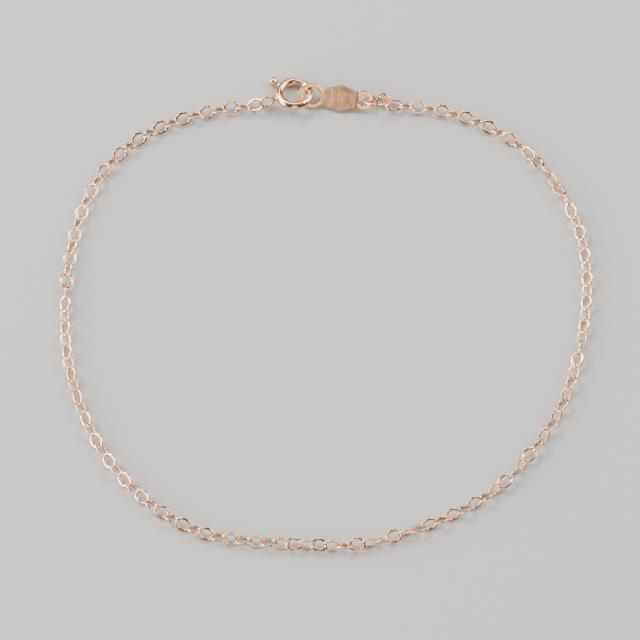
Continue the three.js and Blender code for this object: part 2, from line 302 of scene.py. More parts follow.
def gold_shader(nodes, base, roughness, normal):
    shader = nodes.add(
        "ShaderNodeBsdfPrincipled",
        {"Base Color": base, "Metallic": 1.0, "Roughness": roughness, "Normal": normal},
    )
    shader.inputs["Specular Tint"].default_value = (*settings().finish.edge, 1)
    nodes.add("ShaderNodeOutputMaterial", {"Surface": shader.outputs["BSDF"]})


def noise(nodes, place, scale, detail=3.0, stretch=None):
    """Noise over the piece, its grains 1/scale metres across, longer where stretch is below 1."""
    if stretch:
        place = nodes.vector("MULTIPLY", place, stretch)["Vector"]
    return nodes.add(
        "ShaderNodeTexNoise", {"Vector": place, "Scale": scale, "Detail": detail, "Roughness": 0.6}
    ).outputs["Fac"]


def between(nodes, factor, low, high, from_low=0.3, from_high=0.7):
    return nodes.add(
        "ShaderNodeMapRange",
        {"Value": factor, "From Min": from_low, "From Max": from_high, "To Min": low, "To Max": high},
    ).outputs["Result"]


def blended(nodes, first, second, share_of_second):
    """Two values added, the second by its share and the first by the rest."""
    rest = nodes.math("MULTIPLY", first, 1 - share_of_second)
    return nodes.math("ADD", rest, nodes.math("MULTIPLY", second, share_of_second))


def mixed(nodes, factor, first, second):
    """A colour from the first at 0 to the second at 1."""
    mix = nodes.add("ShaderNodeMix", data_type="RGBA")
    nodes.tree.links.new(factor, mix.inputs[0])
    for socket, colour in zip(mix.inputs[6:8], (first, second)):
        if isinstance(colour, bpy.types.NodeSocket):
            nodes.tree.links.new(colour, socket)
        else:
            socket.default_value = (*colour, 1)
    return mix.outputs[2]


def polished_gold():
    """Bright rose gold with fine wear, its tone a little other from link to link."""
    finish = settings().finish
    material, nodes = new_material("polished_gold")
    place = nodes.add("ShaderNodeTexCoord").outputs["Object"]
    tone = nodes.add("ShaderNodeAttribute", attribute_name="link_tone").outputs["Fac"]
    worn = blended(nodes, noise(nodes, place, CLOUDS), tone, 0.3)
    scuffs = noise(nodes, place, SCUFFS, 4.0)
    roughness = between(nodes, scuffs, finish.polish * 0.75, finish.polish * 1.45)
    bump = nodes.add("ShaderNodeBump", {"Strength": 0.08, "Distance": 0.012 * MM, "Height": scuffs})
    base = mixed(nodes, between(nodes, worn, 0.1, 0.8, 0.25, 0.75), finish.rose, finish.pale)
    gold_shader(nodes, base, roughness, bump.outputs["Normal"])
    return material


def on_tag(nodes):
    """Places on the tag in its own frame: x from the large eye to the small one, z out of its face."""
    spot = tag_place()
    world = nodes.add("ShaderNodeTexCoord").outputs["Object"]
    return nodes.add(
        "ShaderNodeMapping",
        {"Vector": world, "Location": spot.to_translation(), "Rotation": spot.to_euler()},
        vector_type="TEXTURE",
    ).outputs[0]


def brushed_gold():
    """Brushed rose gold: fine lines across the tag, fewer along it, a patch rubbed paler, satin eyes."""
    finish = settings().finish
    spacing = settings().tag.eye_spacing
    material, nodes = new_material("brushed_gold")
    place = on_tag(nodes)

    broad_lines = noise(nodes, place, BROAD_LINES, 3.0, (1, 0.06, 0.3))
    fine_lines = noise(nodes, place, FINE_LINES, 2.0, (1, 0.08, 0.3))
    cross_lines = noise(nodes, place, CROSS_LINES, 2.0, (0.06, 1, 0.3))
    lines = blended(nodes, blended(nodes, broad_lines, fine_lines, 0.6), cross_lines, 0.25)
    shade = blended(nodes, lines, noise(nodes, place, PATCHES, 2.0), 0.3)
    face = mixed(nodes, between(nodes, shade, 0.0, 1.0, 0.4, 0.56), finish.brushed, finish.rose)

    away = nodes.vector("DISTANCE", place, (spacing / 2, 0, 0))["Value"]
    patch = between(nodes, away, 1, 0, *RUBBED_PATCH)
    spots = between(nodes, noise(nodes, place, RUBBED_SPOTS), 0, 1, 0.42, 0.6)
    rubbed = nodes.math("MULTIPLY", patch, spots)
    bare = mixed(nodes, nodes.math("MULTIPLY", rubbed, 0.4), face, finish.pale)

    run = nodes.add("ShaderNodeSeparateXYZ", {"Vector": place}).outputs["X"]
    large_eye = between(nodes, run, 1, 0, *LARGE_EYE_END)
    small_eye = between(nodes, run, 0, 1, *(spacing + x for x in SMALL_EYE_END))
    eyes = nodes.math("MAXIMUM", large_eye, small_eye)
    base = mixed(nodes, eyes, bare, finish.rose)

    satin = between(nodes, lines, finish.satin * 0.8, finish.satin * 1.25)
    smoother = (finish.polish - finish.satin) / 2
    roughness = nodes.math("ADD", satin, nodes.math("MULTIPLY", eyes, smoother))
    depth = nodes.math("MULTIPLY", lines, nodes.math("SUBTRACT", 1.0, eyes))
    bump = nodes.add("ShaderNodeBump", {"Strength": 1.0, "Distance": 0.08 * MM, "Height": depth})
    gold_shader(nodes, base, roughness, bump.outputs["Normal"])
    return material


def pale_floor():
    stage = settings().stage
    material, nodes = new_material("pale_floor")
    place = nodes.add("ShaderNodeTexCoord").outputs["Object"]
    grain = noise(nodes, place, FLOOR_GRAIN, 4.0)
    roughness = between(nodes, grain, 0.62, 0.72)
    looks = {"Base Color": (*stage.floor, 1), "Roughness": roughness}
    shader = nodes.add("ShaderNodeBsdfPrincipled", looks)
    nodes.add("ShaderNodeOutputMaterial", {"Surface": shader.outputs["BSDF"]})
    return material


def finish_named(name, make):
    """A material of this script's own, made once. The frame brings others, named after its slots."""
    return bpy.data.materials.get(name) or make()


# Meshes

# Points nearer than this are one.
MERGE_WITHIN = 1e-7


def new_object(name, mesh):
    thing = bpy.data.objects.new(name, mesh)
    bpy.context.scene.collection.objects.link(thing)
    return thing


def closed_mesh(name, points, faces, place=None):
    """A closed mesh with its poles merged and its faces outward."""
    mesh = bpy.data.meshes.new(name)
    mesh.from_pydata([tuple(point) for point in points], [], faces)
    work = bmesh.new()
    work.from_mesh(mesh)
    bmesh.ops.remove_doubles(work, verts=work.verts, dist=MERGE_WITHIN)
    bmesh.ops.recalc_face_normals(work, faces=work.faces)
    work.to_mesh(mesh)
    work.free()
    if place:
        mesh.transform(place)
    return mesh


def made(thing):
    """What a thing's modifiers make, as a plain mesh. The thing itself goes."""
    graph = bpy.context.evaluated_depsgraph_get()
    mesh = bpy.data.meshes.new_from_object(thing.evaluated_get(graph))
    mesh.name = thing.name
    thing.modifiers.clear()
    bpy.data.objects.remove(thing)
    return mesh


def fused(name, meshes):
    """One closed mesh of closed meshes that run into each other, as soldered metal is."""
    base = new_object(name, meshes[0])
    others = [new_object(name, mesh) for mesh in meshes[1:]]
    for other in others:
        join = base.modifiers.new("Join", "BOOLEAN")
        join.operation = "UNION"
        join.solver = "EXACT"
        join.object = other
    mesh = made(base)
    for other in others:
        bpy.data.objects.remove(other)
    return mesh


def eased(mesh, width, steps=2, sharper_than=50):
    """The mesh with its sharp edges rounded."""
    thing = new_object(mesh.name, mesh)
    edge = thing.modifiers.new("Edge", "BEVEL")
    edge.limit_method = "ANGLE"
    edge.angle_limit = math.radians(sharper_than)
    edge.width = width
    edge.segments = steps
    return made(thing)


def smooth(mesh, sharper_than=38):
    """Shades the mesh smooth, but for its sharp edges."""
    work = bmesh.new()
    work.from_mesh(mesh)
    for face in work.faces:
        face.smooth = True
    for edge in work.edges:
        edge.smooth = edge.calc_face_angle(0) < math.radians(sharper_than)
    work.to_mesh(mesh)
    work.free()


def place_piece(name, mesh, material, slot, body, *nodes):
    """Puts a finished mesh in the scene, riding on its body in place of its solids."""
    mesh.materials.clear()
    mesh.materials.append(material)
    mesh.name = name
    piece = new_object(name, mesh)
    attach(piece, body)
    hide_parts(*nodes)
    return piece


def quads(rows, columns, open_rows=False):
    """Faces of a grid of points whose columns close on themselves, and whose rows do unless open."""
    faces = []
    for i in range(rows - 1 if open_rows else rows):
        here = i * columns
        below = (i + 1) % rows * columns
        for j in range(columns):
            right = (j + 1) % columns
            faces.append((here + j, here + right, below + right, below + j))
    return faces


def turned_solid(name, profile, sides, place=None):
    """A solid of revolution about X, from a profile of (x, radius) that starts and ends on the axis."""
    points = []
    for x, radius in profile:
        for j in range(sides):
            turn = 2 * math.pi * j / sides
            points.append((x, radius * math.cos(turn), radius * math.sin(turn)))
    return closed_mesh(name, points, quads(len(profile), sides, open_rows=True), place)


def ring(name, middle_radius, half_breadth, half_thickness, place, steps, sides=18, squareness=2):
    """A ring about Z whose section is an ellipse at squareness 2, and boxier above it."""
    points = []
    for i in range(steps):
        around = 2 * math.pi * i / steps
        for j in range(sides):
            turn = 2 * math.pi * j / sides
            c, s = math.cos(turn), math.sin(turn)
            across = half_breadth * math.copysign(abs(c) ** (2 / squareness), c)
            up = half_thickness * math.copysign(abs(s) ** (2 / squareness), s)
            radius = middle_radius + across
            points.append((radius * math.cos(around), radius * math.sin(around), up))
    return closed_mesh(name, points, quads(steps, sides), place)


# Chain


def lean_of(number):
    row = next(row for row in LEANS if number <= row["up_to"])
    return row["odd"] if number % 2 else row["even"]


def rest_height(lean):
    """How high a link's middle is when its lower side touches the table."""
    sizes = settings().chain
    turn = math.radians(lean)
    return sizes.link_width / 2 * abs(math.sin(turn)) + sizes.wire_thickness / 2 * abs(math.cos(turn))


def smooth_line(points, steps=100):
    """A close line of points along the smooth curve (a centripetal spline) through a few of them."""
    points = [2 * points[0] - points[1], *points, 2 * points[-1] - points[-2]]
    line = []
    for a, b, c, d in zip(points, points[1:], points[2:], points[3:]):
        before, here, after = (math.sqrt((q - p).length) for p, q in ((a, b), (b, c), (c, d)))
        leave = (b - a) / before - (c - a) / (before + here) + (c - b) / here
        arrive = (c - b) / here - (d - b) / (here + after) + (d - c) / after
        leave, arrive = leave * here, arrive * here
        for k in range(steps):
            t = k / steps
            bend = (2 * b - 2 * c + leave + arrive) * t**3
            line.append(b + leave * t + (3 * c - 3 * b - 2 * leave - arrive) * t**2 + bend)
    line.append(points[-2])
    return line


def spaced(line, pitch):
    """Points at equal steps along a line, as near to pitch apart as whole steps allow."""
    line = np.array(line)
    run = np.concatenate([[0], np.cumsum(np.linalg.norm(np.diff(line, axis=0), axis=1))])
    stops = np.linspace(0, run[-1], round(run[-1] / pitch) + 1)
    return [Vector([np.interp(stop, run, line[:, axis]) for axis in range(3)]) for stop in stops]


def end_loop_reach():
    sizes = settings().clasp
    return sizes.outer / 2 + sizes.loop_neck + sizes.loop_outer / 2


def end_loop_radius():
    sizes = settings().clasp
    return (sizes.loop_outer - sizes.loop_wire) / 2


def clasp_contact():
    """Where the chain's first link bears on the clasp's end loop, low on its outer side."""
    sizes = settings().clasp
    reach = end_loop_radius() - sizes.loop_wire / 2
    hang = Vector((math.cos(CHAIN_HANG_ANGLE), 0, -math.sin(CHAIN_HANG_ANGLE)))
    at_loop = Vector((end_loop_reach(), 0, 0)) + reach * hang
    return CLASP_PLACE @ Matrix.Rotation(sizes.loop_angle, 4, "Z") @ at_loop


def tag_place():
    turn = Matrix.Rotation(TAG_YAW, 4, "Z") @ Matrix.Rotation(TAG_ROLL, 4, "X")
    return Matrix.Translation(CLASP_CENTRE + TAG_FROM_CLASP) @ turn


def jump_place():
    centre = tag_place() @ Vector((settings().tag.eye_spacing, 0, 0)) + JUMP_FROM_SMALL_EYE
    turn = Matrix.Rotation(JUMP_YAW, 4, "Z") @ Matrix.Rotation(JUMP_TILT, 4, "X")
    return Matrix.Translation(centre) @ turn


def jump_radius():
    sizes = settings().tag
    return (sizes.jump_outer - sizes.jump_wire) / 2


def last_link():
    """Both inner ends of the last link, which is threaded on the jump ring."""
    wire = Vector((math.cos(HOOK_ANGLE), math.sin(HOOK_ANGLE), 0)) * jump_radius()
    middle = jump_place() @ wire + HOOK_OFFSET
    turn = Matrix.Rotation(HOOK_YAW, 3, "Z") @ Matrix.Rotation(-HOOK_PITCH, 3, "Y")
    half = turn @ Vector((settings().chain.inside_length / 2, 0, 0))
    return middle - half, middle + half


def chain_links():
    """Each link's two inner ends and its lean, from the clasp round to the jump ring."""
    hooked = last_link()
    on_table = [Vector((x * LOOP_WIDTH / 2, y * LOOP_DEPTH / 2, 0)) for x, y in ROUTE]
    first, last = clasp_contact(), hooked[1]
    line = smooth_line([Vector((*first.xy, 0)), *on_table, Vector((*last.xy, 0))])
    contacts = spaced(line, settings().chain.inside_length)
    count = len(contacts) - 1
    leans = [lean_of(number) for number in range(count)] + [LEAN_BEFORE_HOOK]
    for i, contact in enumerate(contacts):
        contact.z = max(rest_height(leans[i]), rest_height(leans[min(i + 1, count)]))
    contacts[0], contacts[-1] = first, last
    links = list(zip(contacts, contacts[1:], leans[1:]))
    return [*links, (*hooked, HOOK_LEAN)]


# The inputs of the links' tree: sizes, and whole numbers.
LINK_MEASURES = (
    "Link Width",
    "Inside Length",
    "Wire Breadth",
    "Wire Thickness",
    "Edge Radius",
    "Lean Spread",
)
LINK_COUNTS = ("Steps Round", "Corner Steps", "Seed")


def given_sizes(tree):
    """The named inputs of the links' tree."""
    sockets = tree.interface
    sockets.new_socket("Geometry", in_out="INPUT", socket_type="NodeSocketGeometry")
    for name in LINK_MEASURES:
        sockets.new_socket(name, in_out="INPUT", socket_type="NodeSocketFloat")
    for name in LINK_COUNTS:
        sockets.new_socket(name, in_out="INPUT", socket_type="NodeSocketInt")
    sockets.new_socket("Material", in_out="INPUT", socket_type="NodeSocketMaterial")
    sockets.new_socket("Geometry", in_out="OUTPUT", socket_type="NodeSocketGeometry")
    return Nodes(tree).add("NodeGroupInput").outputs


def oval_link(nodes, given):
    """One oval link of flattened wire: a round ring, drawn out with its wire as broad all round."""
    round_radius = MM
    circle = nodes.add(
        "GeometryNodeCurvePrimitiveCircle",
        {"Resolution": given["Steps Round"], "Radius": round_radius},
    )
    box = nodes.add(
        "GeometryNodeCurvePrimitiveQuadrilateral",
        {"Width": given["Wire Breadth"], "Height": given["Wire Thickness"]},
    )
    section = nodes.add(
        "GeometryNodeFilletCurve",
        {"Curve": box.outputs[0], "Count": given["Corner Steps"], "Radius": given["Edge Radius"]},
        mode="POLY",
    )
    swept = nodes.add(
        "GeometryNodeCurveToMesh", {"Curve": circle.outputs[0], "Profile Curve": section.outputs[0]}
    )

    place = nodes.add("GeometryNodeInputPosition").outputs[0]
    flat = nodes.vector("MULTIPLY", place, (1, 1, 0))["Vector"]
    radius = nodes.vector("LENGTH", flat)["Value"]
    direction = nodes.vector("NORMALIZE", flat)["Vector"]
    half_breadth = nodes.math("MULTIPLY", given["Wire Breadth"], 0.5)
    across = nodes.math("ADD", nodes.math("SUBTRACT", radius, round_radius), half_breadth)
    half_length = nodes.math("ADD", nodes.math("MULTIPLY", given["Inside Length"], 0.5), across)
    outside_half = nodes.math("MULTIPLY", given["Link Width"], 0.5)
    inside_half = nodes.math("SUBTRACT", outside_half, given["Wire Breadth"])
    half_width = nodes.math("ADD", inside_half, across)
    stretch = nodes.add("ShaderNodeCombineXYZ", {"X": half_length, "Y": half_width}).outputs[0]
    outline = nodes.vector("MULTIPLY", direction, stretch)["Vector"]
    height = nodes.vector("MULTIPLY", place, (0, 0, 1))["Vector"]
    oval = nodes.vector("ADD", outline, height)["Vector"]
    return nodes.add("GeometryNodeSetPosition", {"Geometry": swept.outputs[0], "Position": oval}).outputs[0]


def charted(nodes, name, kind):
    """What each link's point holds under a name."""
    return nodes.add("GeometryNodeInputNamedAttribute", {"Name": name}, data_type=kind).outputs[0]


def strayed(nodes, given, lean):
    """A link's charted lean, off by a little that differs from link to link."""
    least = nodes.math("MULTIPLY", given["Lean Spread"], -1.0)
    stray = nodes.add("FunctionNodeRandomValue", {"Seed": given["Seed"]}, data_type="FLOAT")
    nodes.tree.links.new(least, stray.inputs[2])
    nodes.tree.links.new(given["Lean Spread"], stray.inputs[3])
    return nodes.math("ADD", lean, stray.outputs[1])


def link_turn(nodes, along, lean):
    """The turn that lays a link along its own line and leans it about that line."""
    back = nodes.math("MULTIPLY", lean, -1.0)
    outward = nodes.vector("CROSS_PRODUCT", along, tuple(UP))["Vector"]
    side = nodes.add(
        "ShaderNodeVectorRotate",
        {"Vector": outward, "Axis": along, "Angle": back},
        rotation_type="AXIS_ANGLE",
    )
    return nodes.add(
        "FunctionNodeAxesToRotation",
        {"Primary Axis": along, "Secondary Axis": side.outputs[0]},
        primary_axis="X",
        secondary_axis="Y",
    ).outputs[0]


def toned(nodes, given, links):
    """The links, each with a tone of its own for its gold."""
    tone = nodes.add("FunctionNodeRandomValue", {"Seed": given["Seed"]}, data_type="FLOAT")
    stored = nodes.add(
        "GeometryNodeStoreNamedAttribute",
        {"Geometry": links, "Name": "link_tone"},
        data_type="FLOAT",
        domain="INSTANCE",
    )
    nodes.tree.links.new(tone.outputs[1], stored.inputs["Value"])
    return stored.outputs[0]


def link_tree():
    """Geometry Nodes that put an oval link of flattened wire on each point, by its along and lean."""
    tree = bpy.data.node_groups.new("Oval links", "GeometryNodeTree")
    nodes = Nodes(tree)
    given = given_sizes(tree)
    along = charted(nodes, "along", "FLOAT_VECTOR")
    lean = charted(nodes, "lean", "FLOAT")
    longer = nodes.math("DIVIDE", nodes.vector("LENGTH", along)["Value"], given["Inside Length"])
    placed = nodes.add(
        "GeometryNodeInstanceOnPoints",
        {
            "Points": given["Geometry"],
            "Instance": oval_link(nodes, given),
            "Rotation": link_turn(nodes, along, strayed(nodes, given, lean)),
            "Scale": nodes.add("ShaderNodeCombineXYZ", {"X": longer, "Y": 1.0, "Z": 1.0}).outputs[0],
        },
    )
    links = toned(nodes, given, placed.outputs[0])
    real = nodes.add("GeometryNodeRealizeInstances", {"Geometry": links})
    shaded = nodes.add("GeometryNodeSetShadeSmooth", {"Geometry": real.outputs[0]})
    gold = {"Geometry": shaded.outputs[0], "Material": given["Material"]}
    golden = nodes.add("GeometryNodeSetMaterial", gold)
    nodes.add("NodeGroupOutput", {"Geometry": golden.outputs[0]})
    return tree


def set_inputs(modifier, values):
    """Sets a Geometry Nodes modifier's inputs, found by their names, on their sockets' identifiers."""
    for item in modifier.node_group.interface.items_tree:
        if item.item_type == "SOCKET" and item.in_out == "INPUT" and item.name in values:
            modifier[item.identifier] = values.pop(item.name)
    if values:
        raise RuntimeError(f"the tree has no input named {sorted(values)}")


class BRACELET_OT_chain(bpy.types.Operator):
    """Make the chain's links"""

    bl_idname = "bracelet.chain"
    bl_label = "Chain"

    def execute(self, context):
        sizes = settings().chain
        links = chain_links()
        points = bpy.data.meshes.new("chain")
        points.from_pydata([(start + end) / 2 for start, end, lean in links], [], [])
        along = points.attributes.new("along", "FLOAT_VECTOR", "POINT")
        along.data.foreach_set("vector", [v for start, end, lean in links for v in end - start])
        leans = points.attributes.new("lean", "FLOAT", "POINT")
        leans.data.foreach_set("value", [math.radians(lean) for start, end, lean in links])
        thing = new_object("chain", points)
        modifier = thing.modifiers.new("Links", "NODES")
        modifier.node_group = link_tree()
        gold = finish_named("polished_gold", polished_gold)
        values = {
            "Link Width": sizes.link_width,
            "Inside Length": sizes.inside_length,
            "Wire Breadth": sizes.wire_breadth,
            "Wire Thickness": sizes.wire_thickness,
            "Edge Radius": sizes.edge_radius,
            "Lean Spread": sizes.lean_spread,
            "Steps Round": sizes.steps_round,
            "Corner Steps": sizes.corner_steps,
            "Seed": sizes.seed,
            "Material": gold,
        }
        set_inputs(modifier, values)
        chain = made(thing)
        place_piece("chain", chain, gold, "polished_rose_gold", "bracelet", "chain_left", "chain_right")
        return {"FINISHED"}


# Clasp

TUBE_SIDES = 32
SLOT_SIDES = 8
TUBE_STEP = math.radians(3.6)
BORE_PAST_SLOT = math.radians(1.5)

# The neck between the ring and its end loop flares into the ring as solder does.
# x is from the surface that the row names, and radius is the neck's there.
NECK = [
    {"from": "ring", "x": -0.04 * MM, "radius": 0.39 * MM},
    {"from": "ring", "x": 0.03 * MM, "radius": 0.32 * MM},
    {"from": "ring", "x": 0.1 * MM, "radius": 0.27 * MM},
    {"from": "wire", "x": -0.12 * MM, "radius": 0.25 * MM},
    {"from": "wire", "x": 0, "radius": 0.26 * MM},
    {"from": "wire", "x": 0.1 * MM, "radius": 0.15 * MM},
    {"from": "wire", "x": 0.1 * MM, "radius": 0},
]
NECK_ROOT = 0.4 * MM

BOLT_SIDES = 24
BOLT_STEP = math.radians(4)
TIP_DOME = 0.16 * MM
TIP_STEPS = 6

# The knob's shape along its stem: round from its shoulder to its dimple, as turns from its middle.
KNOB_SHOULDER = math.radians(-42)
KNOB_DIMPLE = math.radians(74)
KNOB_STEPS = 16

# The stem flares into the shoulder. before is how far short of it, and wider what the stem's radius gains.
STEM_FLARE = [
    {"before": 0.5 * MM, "wider": 0},
    {"before": 0.34 * MM, "wider": 0.02 * MM},
    {"before": 0.2 * MM, "wider": 0.06 * MM},
]

# The dimple in the knob's end: how deep it is at each radius.
DIMPLE = [
    {"deep": 0.02 * MM, "radius": 0.09 * MM},
    {"deep": 0.05 * MM, "radius": 0.05 * MM},
    {"deep": 0.06 * MM, "radius": 0},
]


def on_arc(radius_of_ring, around, radius, turn):
    """A point on a tube bent round Z: at around along it, and at turn round its section from outside."""
    out = radius_of_ring + radius * math.cos(turn)
    return out * math.cos(around), out * math.sin(around), radius * math.sin(turn)


def slotted_turns(radius, slot_half):
    """Turns round the tube's section, the first few across the slot, which is as high at any radius."""
    edge = math.asin(slot_half / radius)
    rest = 2 * math.pi - 2 * edge
    across = [-edge + 2 * edge * k / SLOT_SIDES for k in range(SLOT_SIDES)]
    others = TUBE_SIDES - SLOT_SIDES
    return across + [edge + rest * k / others for k in range(others)]


def stretch_of(start, end, pitch):
    """Angles from start up to but not at end, about pitch apart."""
    count = max(1, round(abs(end - start) / pitch))
    return [start + (end - start) * k / count for k in range(count)]


def clasp_tube(name):
    """The ring's hollow tube: outside from the fixed end back to the mouth, then inside along the bore."""
    sizes = settings().clasp
    ring_radius = (sizes.outer - sizes.tube) / 2
    slot_half = sizes.stem_width / 2 + sizes.slot_clearance
    margin = slot_half / ring_radius
    slot_from = sizes.knob_angle - margin
    slot_to = sizes.knob_angle + sizes.travel + margin
    fixed_end = sizes.mouth_from + 2 * math.pi
    before = stretch_of(fixed_end, slot_to, TUBE_STEP)
    slot = [*stretch_of(slot_to, slot_from, TUBE_STEP), slot_from]
    after = [*stretch_of(slot_from, sizes.mouth_to, TUBE_STEP)[1:], sizes.mouth_to]
    outside = before + slot + after
    inside = after[::-1] + slot[::-1] + [slot_to + BORE_PAST_SLOT]
    rows = [(around, sizes.tube / 2) for around in outside]
    rows += [(around, sizes.tube / 2 - sizes.wall) for around in inside]
    points = []
    for around, radius in rows:
        points += [on_arc(ring_radius, around, radius, turn) for turn in slotted_turns(radius, slot_half)]

    def point(row, column):
        return row * TUBE_SIDES + column % TUBE_SIDES

    def face(row, column, next_row):
        across = column + 1
        return point(row, column), point(row, across), point(next_row, across), point(next_row, column)

    # The tube's surface outside and inside, but for the slot.
    outer_slot = range(len(before), len(before) + len(slot))
    first_inside = len(outside) + len(after)
    inner_slot = range(first_inside + len(slot) - 1, first_inside - 1, -1)
    cut_rows = {*outer_slot[:-1], *range(first_inside, first_inside + len(slot) - 1)}
    faces = []
    for row in range(len(rows) - 1):
        for column in range(TUBE_SIDES):
            if not (row in cut_rows and column < SLOT_SIDES):
                faces.append(face(row, column, row + 1))

    # The slot's sides and ends, through the wall.
    pairs = list(zip(outer_slot, inner_slot))
    for (out_a, in_a), (out_b, in_b) in zip(pairs, pairs[1:]):
        for column in (0, SLOT_SIDES):
            faces.append([point(row, column) for row in (out_a, out_b, in_b, in_a)])
    for out, into in (pairs[0], pairs[-1]):
        faces += [face(out, column, into) for column in range(SLOT_SIDES)]

    # The tube's closed end and the bore's.
    for row in (0, len(rows) - 1):
        faces.append([point(row, column) for column in range(TUBE_SIDES)])
    return eased(closed_mesh(name, points, faces), sizes.tube_edge)


def end_loop_meshes(name):
    """The end loop and its neck."""
    sizes = settings().clasp
    turn = Matrix.Rotation(sizes.loop_angle, 4, "Z")
    upright = Matrix.Translation((end_loop_reach(), 0, 0)) @ Matrix.Rotation(math.pi / 2, 4, "X")
    half = sizes.loop_wire / 2
    loop = ring(name, end_loop_radius(), half, half, place=turn @ upright, steps=56)
    inner = (sizes.outer - sizes.tube) / 2
    surface = {"ring": sizes.outer / 2, "wire": end_loop_reach() - end_loop_radius()}
    profile = [(inner, 0), (inner, NECK_ROOT)]
    profile += [(surface[row["from"]] + row["x"], row["radius"]) for row in NECK]
    return loop, turned_solid(name, profile, sides=28, place=turn)


def bolt_tongue(name):
    """The curved bolt, its tip rounded."""
    sizes = settings().clasp
    ring_radius = (sizes.outer - sizes.tube) / 2
    tip = sizes.mouth_from + sizes.bolt_tip_gap
    tail = sizes.knob_angle + sizes.bolt_tail
    radius = sizes.bolt_thickness / 2
    dome = TIP_DOME / ring_radius
    rows = []
    for k in range(TIP_STEPS):
        part = math.pi / 2 * k / TIP_STEPS
        rows.append((tip + dome * (1 - math.cos(part)), radius * math.sin(part)))
    rows += [(around, radius) for around in stretch_of(tip + dome, tail, BOLT_STEP)]
    rows += [(tail, radius), (tail, 0)]
    turns = [2 * math.pi * j / BOLT_SIDES for j in range(BOLT_SIDES)]
    points = [on_arc(ring_radius, around, size, turn) for around, size in rows for turn in turns]
    return closed_mesh(name, points, quads(len(rows), BOLT_SIDES, open_rows=True))


def knob(name):
    """The bolt's knob on its stem, with a small dimple in its end."""
    sizes = settings().clasp
    half = sizes.knob_height / 2
    radius = sizes.knob_width / 2
    stem = sizes.stem_width / 2
    root = (sizes.outer - sizes.tube) / 2
    shoulder = sizes.knob_reach + half * math.sin(KNOB_SHOULDER)
    top = sizes.knob_reach + half * math.sin(KNOB_DIMPLE)
    profile = [(root, 0), (root, stem)]
    profile += [(shoulder - row["before"], stem + row["wider"]) for row in STEM_FLARE]
    for k in range(KNOB_STEPS + 1):
        part = KNOB_SHOULDER + (KNOB_DIMPLE - KNOB_SHOULDER) * k / KNOB_STEPS
        profile.append((sizes.knob_reach + half * math.sin(part), radius * math.cos(part)))
    profile += [(top - row["deep"], row["radius"]) for row in DIMPLE]
    return turned_solid(name, profile, sides=32, place=Matrix.Rotation(sizes.knob_angle, 4, "Z"))


class BRACELET_OT_clasp(bpy.types.Operator):
    """Make the clasp's ring and its bolt"""

    bl_idname = "bracelet.clasp"
    bl_label = "Clasp"

    def execute(self, context):
        gold = finish_named("polished_gold", polished_gold)
        tube = fused("spring_ring", [clasp_tube("spring_ring"), *end_loop_meshes("spring_ring")])
        bolt = fused("bolt", [bolt_tongue("bolt"), knob("bolt")])
        for mesh in (tube, bolt):
            mesh.transform(CLASP_PLACE)
            smooth(mesh)
        place_piece("spring_ring", tube, gold, "polished_rose_gold", "bracelet", "clasp_ring")
        place_piece("bolt", bolt, gold, "polished_rose_gold", "bolt", "clasp_bolt")
        return {"FINISHED"}


# Tag and jump ring

# Half of the lozenge's outline, from the large eye to the small one.
# x is from the middle of the eye that the row names, and width is right across.
LOZENGE = [
    {"eye": "large", "x": 1.3 * MM, "width": 2.12 * MM, "corner": 0.05 * MM},
    {"eye": "large", "x": 3.7 * MM, "width": 3.44 * MM, "corner": 0.25 * MM},
    {"eye": "small", "x": -0.7 * MM, "width": 2.04 * MM, "corner": 0.05 * MM},
]


def rounded_outline(corners, steps=5):
    """A closed outline through the corners, each one cut off by its own short curve."""
    outline = []
    for i, (corner, cut) in enumerate(corners):
        before = (corners[i - 1][0] - corner).normalized() * cut
        after = (corners[(i + 1) % len(corners)][0] - corner).normalized() * cut
        for k in range(steps + 1):
            t = k / steps
            outline.append(corner + before * (1 - t) ** 2 + after * t**2)
    return outline


def lozenge(name):
    """The tag's flat lozenge, with its edges eased."""
    sizes = settings().tag
    from_eye = {"large": 0, "small": sizes.eye_spacing}
    half = [(from_eye[row["eye"]] + row["x"], row["width"] / 2, row["corner"]) for row in LOZENGE]
    corners = [(Vector((x, -y, 0)), cut) for x, y, cut in half]
    corners += [(Vector((x, y, 0)), cut) for x, y, cut in reversed(half)]
    outline = rounded_outline(corners)
    count = len(outline)
    thick = Vector((0, 0, sizes.lozenge_thickness / 2))
    points = [point - thick for point in outline] + [point + thick for point in outline]
    faces = [(j, (j + 1) % count, count + (j + 1) % count, count + j) for j in range(count)]
    faces += [list(range(count)), list(range(count, 2 * count))]
    return eased(closed_mesh(name, points, faces), sizes.lozenge_edge, steps=3, sharper_than=60)


def eye(name, outer, hole, x):
    """A round eye of the tag, flat with its edges rounded."""
    place = Matrix.Translation((x, 0, 0))
    middle = (outer + hole) / 4
    half_breadth = (outer - hole) / 4
    half = settings().tag.eye_thickness / 2
    return ring(name, middle, half_breadth, half, place, steps=64, sides=28, squareness=4.5)


class BRACELET_OT_tag(bpy.types.Operator):
    """Make the tag"""

    bl_idname = "bracelet.tag"
    bl_label = "Tag"

    def execute(self, context):
        sizes = settings().tag
        satin = finish_named("brushed_gold", brushed_gold)
        large = eye("tag_plate", sizes.large_eye, sizes.large_hole, 0)
        small = eye("tag_plate", sizes.small_eye, sizes.small_hole, sizes.eye_spacing)
        mesh = fused("tag_plate", [lozenge("tag_plate"), large, small])
        mesh.transform(tag_place())
        smooth(mesh)
        place_piece("tag_plate", mesh, satin, "satin_rose_gold", "bracelet", "tag")
        return {"FINISHED"}


